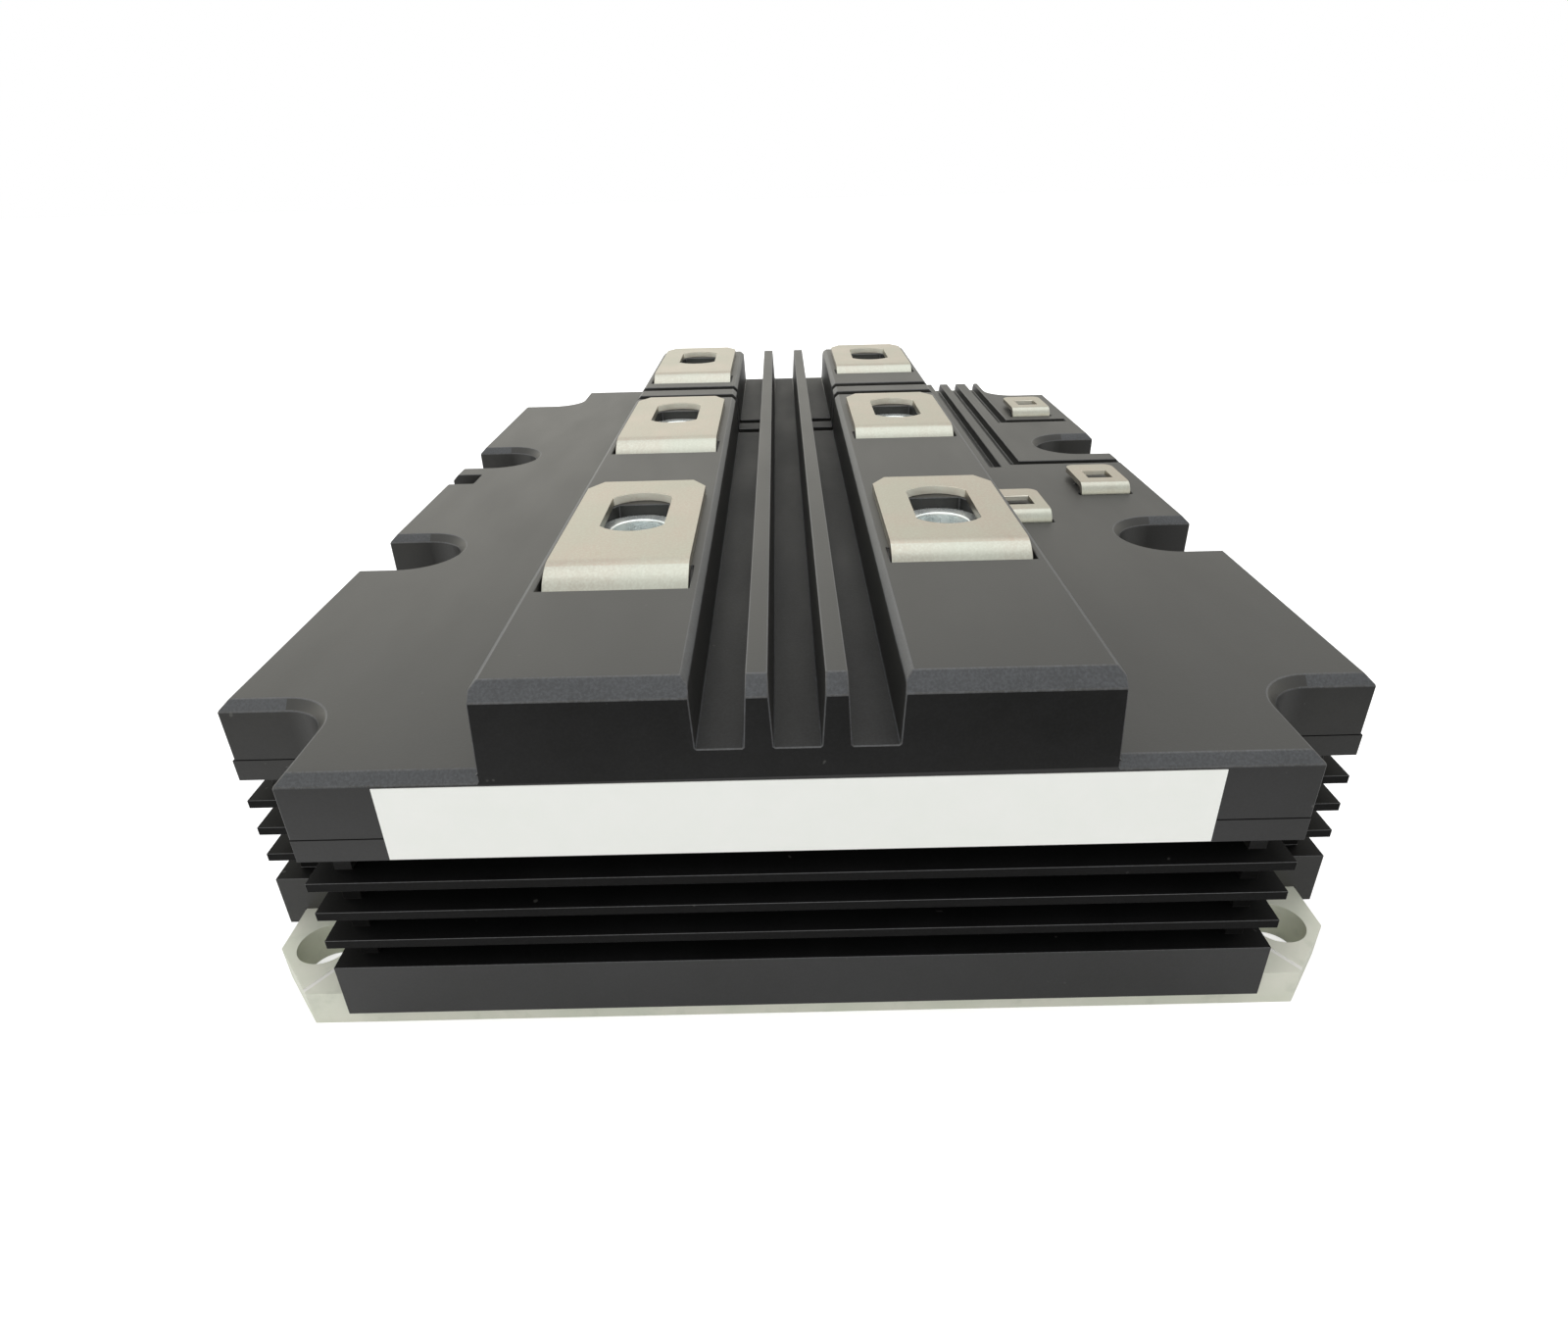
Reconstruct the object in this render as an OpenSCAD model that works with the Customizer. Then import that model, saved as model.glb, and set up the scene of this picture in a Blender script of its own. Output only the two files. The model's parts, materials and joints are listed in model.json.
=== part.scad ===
// High-insulation single-switch IGBT power module.
// Frame: origin at the centre of the base plate's underside, +X across the
// width, +Y along the length away from the label end, +Z out of the terminals.

/* [Housing] */
// Length of the housing from front face to rear face
housing_l = 190; // [185:1:230]
// Width across the fins and flanges
housing_w = 140.6; // [138:0.2:172]
// How far the lid's side walls stand inside the flange
lid_step = 0.25; // [0.1:0.05:0.6]
// Distance from a corner screw hole to the side wall of its notch
notch_side = 6.3; // [6:0.1:7.2]
// Distance from a corner screw hole to the back wall of its notch
notch_back = 6.7; // [6.2:0.1:7.2]
// Radius in the inner corner of a notch
notch_r = 6; // [3:0.5:8]
// Radius of the screw pockets in the long sides
pocket_r = 7.25; // [6:0.25:8]
// How far a pocket's round end is centred outside its screw hole
pocket_shift = 1; // [0:0.25:2]
// Thickness of the frame's walls
wall_t = 2.4; // [1.8:0.1:3]

/* [Base plate] */
// Thickness of the base plate
plate_t = 5; // [4:0.5:8]
// Gap between the plate's edge and the frame's outer side faces
plate_inset_x = 2.8; // [2:0.1:4]
// Gap between the plate's end and the frame's end faces
plate_inset_y = 1; // [0.8:0.1:2]
// Length of a plate corner's chamfer along the long side
plate_chamfer_y = 7.8; // [4:0.2:9]
// Length of a plate corner's chamfer along the short side
plate_chamfer_x = 6.6; // [4:0.2:8]
// Spacing of the screw holes across the width
hole_pitch_x = 124; // [120:1:124]
// Spacing of neighbouring screw holes along the length
hole_pitch_y = 57; // [55:0.5:58]
// Diameter of the screw holes
hole_d = 7; // [5:0.5:8]

/* [Frame levels] */
// How far the skirt reaches down over the plate's edge
skirt_h = 2.4; // [1:0.1:3.5]
// Height of the lower flange above the plate
lower_flange_h = 5.3; // [4:0.1:8]
// Height of the finned stretch
fin_zone_h = 16.1; // [12:0.1:24]
// Number of creepage fins
fin_count = 3; // [2:1:4]
// Thickness of a fin
fin_t = 1.2; // [1:0.1:1.8]
// Depth of the grooves between the fins
fin_depth = 2.4; // [2:0.1:3.5]
// Extra depth of those grooves along the two ends
end_recess = 2.1; // [1:0.1:2.4]
// Width of the corner posts that stop short of that extra depth
post_w = 3.4; // [2:0.1:5]
// Width of the drain gap beside each post
post_gap_w = 2.4; // [1.5:0.1:3]
// Depth of the drain gap
post_gap_depth = 6.6; // [5:0.1:7]
// Thickness of the top flange
top_flange_t = 3; // [2:0.1:5]

/* [Lid] */
// Height of the lid's low deck above the seam
lid_h = 8.2; // [7:0.1:12]
// Thickness of the lid's shell
lid_t = 3.4; // [2.8:0.1:4]
// Bevel on the deck's edges
lid_bevel = 1.2; // [0.4:0.1:1.8]
// Height of the terminal blocks above the deck
block_h = 10.4; // [8:0.1:16]
// Distance from the middle to a block's inner top edge
block_in = 11; // [10:0.1:12]
// Distance from the middle to a block's outer top edge
block_out = 33.3; // [32.6:0.1:36]
// Bevel on the blocks' long top edges
block_bevel = 0.8; // [0.4:0.1:1.2]
// Bevel on the blocks' end edges
end_bevel = 1.8; // [0.6:0.1:2.4]
// Draft of the blocks' sides and the insulating walls, over their height
draft = 0.5; // [0.2:0.1:0.8]
// Height of the channel floor above the deck
channel_h = 2.5; // [1.5:0.1:4]
// Distance from the middle to an insulating wall's inner top edge
rib_in = 2.95; // [2.4:0.05:3.2]
// Thickness of an insulating wall at its top
rib_t = 2.25; // [1.6:0.05:2.6]

/* [Creepage grooves] */
// Width of the grooves
groove_w = 2.4; // [1.6:0.1:2.8]
// Depth of the grooves in the deck
groove_d = 2; // [1:0.1:2.2]
// Position of the first groove across the blocks
cross_groove_y = 36.9; // [36:0.1:38]
// Distance between the two grooves across the blocks
cross_groove_pitch = 8.65; // [8:0.05:9]
// Width of the grooves across the blocks
cross_groove_w = 3.3; // [2.4:0.1:3.6]

/* [Main terminals] */
// Distance from the middle to each row of main terminals
terminal_x = 22.2; // [21.8:0.1:22.6]
// Spacing of the terminals along the length
terminal_pitch = 61.5; // [60:0.5:62]
// Position of the middle screw hole of each row
terminal_y0 = 16.2; // [15:0.1:17]
// Width of a terminal
terminal_w = 18.4; // [17:0.1:18.8]
// Thickness of the terminal sheet
terminal_t = 1.3; // [1.1:0.1:1.6]
// Distance from the screw hole to the free end of a left tab
left_free = 14.6; // [13:0.1:16]
// Distance from the screw hole to the free end of a right tab
right_free = 13.6; // [13:0.1:16]
// Distance from the screw hole to the leg of a left terminal
left_leg = 25.5; // [24:0.1:27]
// Distance from the screw hole to the leg of a right terminal
right_leg = 18.7; // [17.5:0.1:21]
// Outer bend radius of a left terminal
left_bend = 7; // [4:0.5:7]
// Outer bend radius of a right terminal
right_bend = 5; // [4:0.5:6]
// Width of the slot in a tab
slot_w = 9; // [8.6:0.1:10]
// Length of the slot in a tab
slot_l = 17; // [14:0.1:18]
// Radius of the slot's ends
slot_end_r = 5.5; // [5.3:0.1:7]
// Gap round a leg where it passes through plastic
leg_gap = 0.35; // [0.2:0.05:0.5]

/* [Auxiliary terminals] */
// Width of an auxiliary terminal
aux_w = 9.1; // [8:0.1:10]
// Thickness of an auxiliary terminal
aux_t = 1; // [0.8:0.1:1.2]
// Distance from an auxiliary leg to its screw hole
aux_reach = 6.5; // [6.2:0.1:8]
// Distance from an auxiliary screw hole to the tab's free end
aux_free = 6.5; // [5:0.1:7]
// Side of the square hole in an auxiliary tab
aux_hole = 4.6; // [4.4:0.1:5]
// Height of an auxiliary tab's underside above the deck
aux_lift = 0.9; // [0.3:0.1:1.2]

/* [Nuts] */
// Width across flats of the main nuts
nut_af = 13; // [12:0.5:13]
// Height of the main nuts
nut_h = 6.5; // [5:0.5:7]
// Core diameter of the main nuts' thread
nut_core_d = 6.8; // [6:0.1:7]
// Depth of the main nuts below the block's top
nut_drop = 3.4; // [2:0.1:4]
// Width across flats of the auxiliary nuts
aux_nut_af = 7; // [6:0.5:7.5]
// Height of the auxiliary nuts
aux_nut_h = 3.2; // [2.4:0.1:3.4]
// Core diameter of the auxiliary nuts' thread
aux_core_d = 3.3; // [2.5:0.1:3.4]
// Depth of the auxiliary nuts below the deck
aux_nut_drop = 0.8; // [0.4:0.1:1]
// Gap round a nut in its well
nut_gap = 0.15; // [0.1:0.05:0.3]

/* [Label] */
// Width of the bare label
label_w = 90.6; // [60:0.2:94]
// Height of the bare label
label_h = 9.5; // [6:0.1:9.5]
// Thickness of the label
label_t = 0.1; // [0.05:0.05:0.3]
// Height of the label's lower edge above the top flange's underside
label_lift = 0.2; // [0.1:0.1:0.5]

/* [Power circuit] */
// Width of a ceramic substrate
substrate_w = 46.8; // [45:0.2:47]
// Length of a ceramic substrate
substrate_l = 54; // [52:0.2:54]
// Thickness of the ceramic
ceramic_t = 1; // [0.6:0.1:1.2]
// Thickness of the copper on each face
copper_t = 0.3; // [0.2:0.05:0.4]
// Distance between the two columns of substrates
substrate_pitch_x = 49; // [48:0.2:49.4]
// Distance between the rows of substrates
substrate_pitch_y = 56; // [55:0.2:57]
// Side of a chip
chip_w = 13.6; // [12:0.1:14]
// Thickness of a chip
chip_t = 0.5; // [0.3:0.05:0.6]
// Distance between neighbouring chips
chip_pitch = 16; // [14.4:0.1:16.2]
// Depth of the silicone gel over the plate
gel_h = 7.4; // [6:0.2:8]
// Width of a terminal's foot
foot_w = 6; // [4:0.2:6.2]
// Length of a terminal's foot
foot_l = 5.5; // [5:0.1:6]
// Height of the cross bar's underside above the plate
yoke_lift = 9; // [8.4:0.2:10]
// Height of the cross bar
yoke_h = 6; // [4:0.2:6.4]
// Thickness of the auxiliary circuit board
board_t = 1.6; // [1:0.2:2]
// Height of the board's underside above the plate
board_lift = 18.6; // [18:0.2:19]
// Diameter of the pins between board and substrates
pin_d = 1; // [0.8:0.1:1.2]

/* [Hidden] */

$fn = 48;
over = 1;                               // how far a cutting tool overruns
plate_gap = 0.2;                        // between plate edge and skirt

// heights above the underside
skirt_z = plate_t - skirt_h;
lower_top = plate_t + lower_flange_h;
upper_under = lower_top + fin_zone_h;
seam_z = upper_under + top_flange_t;
deck_z = seam_z + lid_h;
floor_z = deck_z + channel_h;
block_z = deck_z + block_h;
fin_gap = (fin_zone_h - fin_count * fin_t) / (fin_count + 1);

// plan positions
half_l = housing_l / 2;
half_w = housing_w / 2;
lid_half_w = half_w - lid_step;
hole_x = hole_pitch_x / 2;
hole_ys = [for (i = [-1.5 : 1 : 1.5]) i * hole_pitch_y];
nose_w = hole_x - notch_side;           // half width between the corner notches
notch_y = hole_ys[3] - notch_back;      // back of the corner notches
pocket_y = hole_pitch_y / 2;
pocket_x = hole_x + pocket_shift;
plate_half_w = half_w - plate_inset_x;
plate_half_l = half_l - plate_inset_y;

// inside of the housing
post_x = nose_w - 1.1 - post_w;         // inner side of a corner post
gap_x = post_x - post_gap_w;            // inner side of the drain gap
core_w = pocket_x - pocket_r - fin_depth - wall_t;
end_w = gap_x - wall_t;
end_y = half_l - fin_depth - end_recess - wall_t;
gap_end_y = half_l - post_gap_depth - wall_t;
bay_w = half_w - fin_depth - wall_t + 0.4;
bay_end = notch_y - fin_depth - wall_t;
bay_start = pocket_y + pocket_r + fin_depth + wall_t;
bay_mid = pocket_y - pocket_r - fin_depth - wall_t;

// terminals
terminal_ys = [for (i = [-1 : 1]) terminal_y0 + i * terminal_pitch];
aux_xs = [41.2, 59.6, 60.4];            // gate, aux emitter, aux collector
aux_leg_ys = [-21.7, -7.2, 54.2];
aux_y = [for (y = aux_leg_ys) y + aux_reach];
substrate_z = plate_t;
pad_z = substrate_z + copper_t + ceramic_t + copper_t;
board_z = plate_t + board_lift;
yoke_z = plate_t + yoke_lift;
foot_x = 3.7;                           // strips beside a substrate's middle
column_x = 15.3;                        // chip columns from a substrate's middle
gate_pad = [11, substrate_l / 2 - 1.9];
substrate_spots = [for (r = [-1 : 1], c = [-1, 1])
                   [c * substrate_pitch_x / 2, r * substrate_pitch_y]];

// nut wells
well_af = nut_af + 2 * nut_gap;
nut_z = block_z - nut_drop - nut_h;
aux_well_af = aux_nut_af + 2 * nut_gap;
aux_nut_z = deck_z - aux_nut_drop - aux_nut_h;
aux_tab_z = deck_z + aux_lift;

black = [0.10, 0.10, 0.11];
tin = [0.72, 0.70, 0.64];

function across(flats) = flats / cos(30);

// ---- plan outlines ---------------------------------------------------------

// everything outside the corner notches' rounded inner edge, for one quarter
module notch_2d(inset) {
    x = nose_w - inset;
    y = notch_y - inset;
    r = notch_r + inset;
    translate([x + r, y]) square(housing_l);
    translate([x, y + r]) square(housing_l);
    translate([x + r, y + r]) circle(r);
}

// one pocket, open to the +X side
module pocket_2d(inset) {
    r = pocket_r + inset;
    circle(r);
    translate([0, -r]) square([housing_w, 2 * r]);
}

module quarters() {
    for (sx = [0, 1], sy = [0, 1])
        mirror([sx, 0, 0]) mirror([0, sy, 0]) children();
}

// outline of the housing, moved inwards by an inset
module outline_2d(inset) {
    difference() {
        square([housing_w - 2 * inset, housing_l - 2 * inset], center = true);
        quarters() notch_2d(inset);
        quarters() translate([pocket_x, pocket_y]) pocket_2d(inset);
    }
}

// neck between the fins: the inset outline with deeper ends and drain gaps
module neck_2d() {
    difference() {
        outline_2d(fin_depth);
        quarters() {
            translate([-over, half_l - fin_depth - end_recess])
                square([gap_x + 2 * over, half_l]);
            translate([gap_x, half_l - post_gap_depth])
                square([post_gap_w, half_l]);
        }
    }
}

// plan of the hollow inside, grown by a margin: one quarter's corners, mirrored
function hollow_quarter(g) = [
    [end_w + g, end_y + g], [end_w + g, gap_end_y + g], [core_w + g, gap_end_y + g],
    [core_w + g, bay_end + g], [bay_w + g, bay_end + g], [bay_w + g, bay_start - g],
    [core_w + g, bay_start - g], [core_w + g, bay_mid + g], [bay_w + g, bay_mid + g]];

module hollow_2d(grow = 0) {
    q = hollow_quarter(grow);
    last = len(q) - 1;
    polygon(concat(q,
                   [for (i = [last : -1 : 0]) [q[i][0], -q[i][1]]],
                   [for (p = q) [-p[0], -p[1]]],
                   [for (i = [last : -1 : 0]) [-q[i][0], q[i][1]]]));
}

// plan of the base plate: a rectangle with its corners cut off
module plate_2d(grow = 0) {
    x = plate_half_w + grow;
    y = plate_half_l + grow;
    cx = x - plate_chamfer_x;
    cy = y - plate_chamfer_y;
    polygon([[x, -cy], [x, cy], [cx, y], [-cx, y], [-x, cy], [-x, -cy], [-cx, -y], [cx, -y]]);
}

// ---- base plate ------------------------------------------------------------

module base_plate() color([0.74, 0.74, 0.70]) difference() {
    linear_extrude(plate_t) plate_2d();
    for (sx = [-1, 1], y = hole_ys)
        translate([sx * hole_x, y, -over]) cylinder(d = hole_d, h = plate_t + 2 * over);
}

// ---- housing ---------------------------------------------------------------

// ring that the sealing bead fills, as deep as the groove that holds it
bead_in = 0.7;
bead_w = 1;
bead_h = 0.6;
module bead(z) translate([0, 0, z]) linear_extrude(bead_h) difference() {
    hollow_2d(bead_in + bead_w);
    hollow_2d(bead_in);
}

module housing_frame() color(black) difference() {
    union() {
        translate([0, 0, skirt_z]) linear_extrude(lower_top - skirt_z) outline_2d(0);
        translate([0, 0, lower_top]) linear_extrude(fin_zone_h) neck_2d();
        for (i = [1 : fin_count])
            translate([0, 0, lower_top + i * fin_gap + (i - 1) * fin_t])
                linear_extrude(fin_t) outline_2d(0);
        translate([0, 0, upper_under]) linear_extrude(top_flange_t) outline_2d(0);
    }
    translate([0, 0, skirt_z - over]) linear_extrude(seam_z) hollow_2d();
    translate([0, 0, skirt_z - over])
        linear_extrude(plate_t - skirt_z + over) plate_2d(plate_gap);
    bead(plate_t);
    bead(seam_z - bead_h);
}

// prism that bevels an edge running along X, through the origin
module edge_cut(len, size) {
    rotate([45, 0, 0]) cube([len, size * sqrt(2), size * sqrt(2)], center = true);
}

// cutter for a step with a bevelled rim, along +Y: it removes x > 0 below z = 0
module rim_step(len, depth) {
    rotate([-90, 0, 0]) linear_extrude(len)
        polygon([[0, depth], [0, lid_bevel], [-lid_bevel - over, -over],
                 [housing_l, -over], [housing_l, depth]]);
}

// round end of such a step
module rim_round(r, depth) {
    translate([0, 0, -depth]) cylinder(r = r, h = depth + over);
    translate([0, 0, -lid_bevel]) cylinder(r1 = r, r2 = r + lid_bevel + over,
                                           h = lid_bevel + over);
}

module deck_notch() {
    depth = lid_h + over;
    translate([nose_w, notch_y + notch_r, deck_z]) rim_step(half_l, depth);
    translate([nose_w + notch_r, notch_y, deck_z])
        rotate(90) mirror([0, 1, 0]) rim_step(half_l, depth);
    translate([nose_w + notch_r, notch_y + notch_r, deck_z]) rim_round(notch_r, depth);
}

module deck_pocket() {
    depth = lid_h + over;
    translate([pocket_x, pocket_y, deck_z]) {
        rim_round(pocket_r, depth);
        for (s = [0, 1]) mirror([0, s, 0])
            translate([0, pocket_r, 0]) rotate(-90) difference() {
                rim_step(housing_w, depth);
                translate([pocket_r, -over, -housing_l])
                    cube([housing_l, housing_l, 2 * housing_l]);
            }
    }
}

// low deck with its bevelled rim
module deck() difference() {
    translate([-lid_half_w, -half_l, seam_z]) cube([2 * lid_half_w, housing_l, lid_h]);
    quarters() deck_notch();
    quarters() deck_pocket();
    for (s = [-1, 1]) {
        difference() {
            translate([0, s * half_l, deck_z]) edge_cut(housing_w, lid_bevel);
            cube([2 * (block_out + draft), housing_l + 2 * over, 2 * block_z], center = true);
        }
        translate([s * lid_half_w, 0, deck_z]) rotate(90) edge_cut(housing_l, lid_bevel);
    }
}

// one terminal block, on the +X side
module block() difference() {
    rotate([90, 0, 0]) translate([0, 0, -half_l]) linear_extrude(housing_l)
        polygon([[block_in - draft, deck_z - over], [block_in, block_z - block_bevel],
                 [block_in + block_bevel, block_z], [block_out - block_bevel, block_z],
                 [block_out, block_z - block_bevel], [block_out + draft, deck_z - over]]);
    for (s = [-1, 1]) translate([block_in + 11, s * half_l, block_z]) edge_cut(40, end_bevel);
}

// one thin insulating wall, on the +X side
module rib() difference() {
    rotate([90, 0, 0]) translate([0, 0, -half_l]) linear_extrude(housing_l)
        polygon([[rib_in - draft, floor_z - over], [rib_in, block_z],
                 [rib_in + rib_t, block_z], [rib_in + rib_t + draft, floor_z - over]]);
    for (s = [-1, 1]) translate([rib_in, s * half_l, block_z]) edge_cut(20, end_bevel);
}

// grooves over a block's top, down its inner side and over the channel floor
module cross_grooves() {
    depth = groove_d;
    for (k = [0, 1])
        translate([0, cross_groove_y + k * cross_groove_pitch - cross_groove_w / 2, 0]) {
            translate([block_in - draft - over, 0, block_z - depth])
                cube([block_out - block_in + 3 * over, cross_groove_w, depth + over]);
            translate([rib_in + rib_t + draft + 0.2, 0, floor_z - depth + 0.6])
                cube([block_in - rib_in - rib_t - draft - 0.2 + depth, cross_groove_w,
                      block_z - floor_z + depth]);
        }
}

// long grooves in the right-hand deck, between the collector and the auxiliaries:
// the middle one turns out through the side, the outer one stops short of it
long_groove_xs = [42.9, 47.4, 52.4];
long_groove_ends = [11.8, 13.3, 48.6];
side_land = 2.5;                        // deck left beyond the outer groove's branch
module deck_grooves() translate([0, 0, deck_z - groove_d]) {
    h = groove_d + over;
    for (i = [0 : 2])
        translate([long_groove_xs[i] - groove_w / 2, long_groove_ends[i], 0])
            cube([groove_w, housing_l, h]);
    translate([long_groove_xs[1], long_groove_ends[1], 0]) cube([half_w, groove_w, h]);
    translate([long_groove_xs[2], long_groove_ends[2], 0])
        cube([lid_half_w - side_land - long_groove_xs[2], groove_w, h]);
}

// open slot in the left edge of the deck
edge_slot_y = 12.2;
edge_slot_w = 6.4;
edge_slot_l = 6.2;
module edge_slot()
    translate([-lid_half_w - over, edge_slot_y - edge_slot_w / 2, seam_z + 2])
        cube([edge_slot_l + over, edge_slot_w, lid_h]);

// solid columns inside the lid that hold the nuts
column_w = across(nut_af) + 5;
aux_column_w = across(aux_nut_af) + 4;
module nut_columns() {
    for (sx = [-1, 1], y = terminal_ys)
        translate([sx * terminal_x - column_w / 2, y - column_w / 2, seam_z])
            cube([column_w, column_w, block_z - seam_z - over]);
    for (i = [0 : 2])
        translate([aux_xs[i] - aux_column_w / 2, aux_y[i] - aux_column_w / 2, seam_z])
            cube([aux_column_w, aux_column_w, lid_h - over]);
}

module lid_hollow() difference() {
    union() {
        translate([0, 0, seam_z - over]) linear_extrude(lid_h - lid_t + over) hollow_2d();
        translate([-block_in, -end_y, seam_z - over])
            cube([2 * block_in, 2 * end_y, floor_z - seam_z - lid_t + over]);
        for (sx = [0, 1]) mirror([sx, 0, 0])
            translate([block_in + lid_t, -end_y, seam_z - over])
                cube([block_out - block_in - 2 * lid_t, 2 * end_y,
                      block_z - seam_z - lid_t + over]);
    }
    nut_columns();
}

// hexagonal well, opening upwards, with room below for the screw's end
screw_room = 5;
aux_screw_room = 1.6;
module nut_well(af, z, top, core, room) {
    translate([0, 0, z]) cylinder(d = across(af), h = top - z + over, $fn = 6);
    translate([0, 0, z - room]) cylinder(d = core, h = room + over);
}

// slot for a leg whose outer face is at y = 0, rounded off under the leg's bend
module leg_slot(w, t, r, top) translate([-w / 2 - leg_gap, 0, 0]) {
    wide = w + 2 * leg_gap;
    bend_z = top + t - r;
    translate([0, -leg_gap, seam_z]) cube([wide, t + 2 * leg_gap, top - seam_z + over]);
    difference() {
        translate([0, 0, bend_z]) cube([wide, r, r - t + over]);
        translate([-over, r, bend_z]) rotate([0, 90, 0])
            cylinder(r = r - t - leg_gap, h = wide + 2 * over);
    }
}

module housing_lid() color(black) difference() {
    union() {
        deck();
        translate([-block_in, -half_l, deck_z - over])
            cube([2 * block_in, housing_l, channel_h + over]);
        for (sx = [0, 1]) mirror([sx, 0, 0]) {
            block();
            rib();
        }
    }
    lid_hollow();
    for (sx = [0, 1]) mirror([sx, 0, 0]) cross_grooves();
    deck_grooves();
    edge_slot();
    for (y = terminal_ys) {
        for (sx = [-1, 1]) translate([sx * terminal_x, y, 0])
            nut_well(well_af, nut_z, block_z, nut_core_d + 2, screw_room);
        translate([-terminal_x, y - left_leg, 0])
            leg_slot(terminal_w, terminal_t, left_bend, block_z);
        translate([terminal_x, y - right_leg, 0])
            leg_slot(terminal_w, terminal_t, right_bend, block_z);
    }
    for (i = [0 : 2]) {
        translate([aux_xs[i], aux_y[i], 0])
            nut_well(aux_well_af, aux_nut_z, deck_z, aux_core_d + 1, aux_screw_room);
        translate([aux_xs[i], aux_leg_ys[i], 0]) leg_slot(aux_w, aux_t, aux_bend, aux_tab_z);
    }
}

module label() color("white")
    translate([-label_w / 2, -half_l - label_t, upper_under + label_lift])
        cube([label_w, label_t, label_h]);

// ---- terminals -------------------------------------------------------------

// quarter bend of a sheet: from straight up at y = 0 to level along +Y
module bend(w, t, r) translate([-w / 2, r, 0])
    rotate([90, 0, 90]) mirror([1, 0, 0]) rotate_extrude(angle = 90)
        translate([r - t, 0]) square([t, w]);

// slot with shallow round ends
module tab_slot_2d() intersection() {
    square([slot_w, slot_l], center = true);
    union() {
        square([slot_w, slot_l - 2 * slot_end_r + 2 * over], center = true);
        for (s = [-1, 1]) translate([0, s * (slot_l / 2 - slot_end_r)]) circle(slot_end_r);
    }
}

// tab seen from above, with the screw hole at the origin and the bend at y = -back;
// its free corners are cut off, and rounded where round_r is given
module tab_2d(w, back, free, cut, round_r = 0) difference() {
    union() {
        polygon([[-w / 2, -back], [w / 2, -back], [w / 2, free - cut[1]],
                 [w / 2 - cut[0], free], [-w / 2 + cut[0], free], [-w / 2, free - cut[1]]]);
        if (round_r > 0)
            for (s = [-1, 1]) translate([s * (w / 2 - round_r), free - round_r]) circle(round_r);
    }
    children();
}

tab_cut = [2.1, 3.3];
aux_corner_r = 1.8;
aux_bend = 2.2;
foot_bend = 2.4;

// foot under a leg: bent at the bottom, pointing to +Y or -Y
module foot(x, way) translate([x, 0, pad_z]) {
    m = way > 0 ? 0 : 1;
    translate([0, m * terminal_t, 0]) mirror([0, m, 0]) {
        translate([0, 0, foot_bend]) mirror([0, 0, 1]) bend(foot_w, terminal_t, foot_bend);
        translate([-foot_w / 2, foot_bend, 0]) cube([foot_w, foot_l - foot_bend, terminal_t]);
        translate([-foot_w / 2, 0, foot_bend])
            cube([foot_w, terminal_t, yoke_z - pad_z - foot_bend + over]);
    }
}

// complete main terminal: tab, bend, leg, cross bar and one foot per substrate
module main_terminal(x, y, leg, free, r, strip, way) translate([0, y - leg, 0]) {
    bend_z = block_z + terminal_t - r;
    left = -substrate_pitch_x / 2 + strip - foot_w / 2;
    right = substrate_pitch_x / 2 + strip + foot_w / 2;
    translate([x, leg, block_z]) linear_extrude(terminal_t)
        tab_2d(terminal_w, leg - r, free, tab_cut) tab_slot_2d();
    translate([x, 0, bend_z]) bend(terminal_w, terminal_t, r);
    translate([x - terminal_w / 2, 0, yoke_z])
        cube([terminal_w, terminal_t, bend_z - yoke_z]);
    translate([min(left, x - terminal_w / 2), 0, yoke_z])
        cube([max(right, x + terminal_w / 2) - min(left, x - terminal_w / 2),
              terminal_t, yoke_h]);
    for (s = [-1, 1]) foot(s * substrate_pitch_x / 2 + strip, way);
}

module emitter_terminal(i) color(tin)
    main_terminal(-terminal_x, terminal_ys[i], left_leg, left_free, left_bend, -foot_x, -1);
module collector_terminal(i) color(tin)
    main_terminal(terminal_x, terminal_ys[i], right_leg, right_free, right_bend, foot_x, 1);

// auxiliary terminal: tab just over the deck, leg down to the board and a short foot
module aux_terminal(i) color(tin) translate([aux_xs[i], aux_leg_ys[i], 0]) {
    bend_z = aux_tab_z + aux_t - aux_bend;
    translate([0, aux_reach, aux_tab_z]) linear_extrude(aux_t)
        tab_2d(aux_w, aux_reach - aux_bend, aux_free, [aux_corner_r, aux_corner_r],
               aux_corner_r) square(aux_hole, center = true);
    translate([0, 0, bend_z]) bend(aux_w, aux_t, aux_bend);
    translate([-aux_w / 2, 0, board_z + board_t])
        cube([aux_w, aux_t, bend_z - board_z - board_t]);
    translate([-aux_w / 2, 0, board_z + board_t]) cube([aux_w, 4, aux_t]);
}

// ---- nuts ------------------------------------------------------------------

// hexagon nut with its corners chamfered at both faces
module nut(af, h, core) difference() {
    cylinder(d = across(af), h = h, $fn = 6);
    translate([0, 0, -over]) cylinder(d = core, h = h + 2 * over);
    for (m = [0, 1]) translate([0, 0, m * h]) mirror([0, 0, 1 - m]) difference() {
        translate([0, 0, -af / 8]) cylinder(d = 2 * af, h = af / 4);
        translate([0, 0, -af / 8]) cylinder(d1 = af * 0.95 + af / 2, d2 = af * 0.95 - af / 2,
                                            h = af / 4);
    }
}

module main_nuts() color([0.70, 0.74, 0.80])
    for (sx = [-1, 1], y = terminal_ys)
        translate([sx * terminal_x, y, nut_z]) nut(nut_af, nut_h, nut_core_d);

module aux_nuts() color([0.70, 0.74, 0.80])
    for (i = [0 : 2]) translate([aux_xs[i], aux_y[i], aux_nut_z])
        nut(aux_nut_af, aux_nut_h, aux_core_d);

// ---- power circuit ---------------------------------------------------------

chip_pad_w = 14.6;
strip_w = 6.4;
copper_margin = 1;

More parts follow.
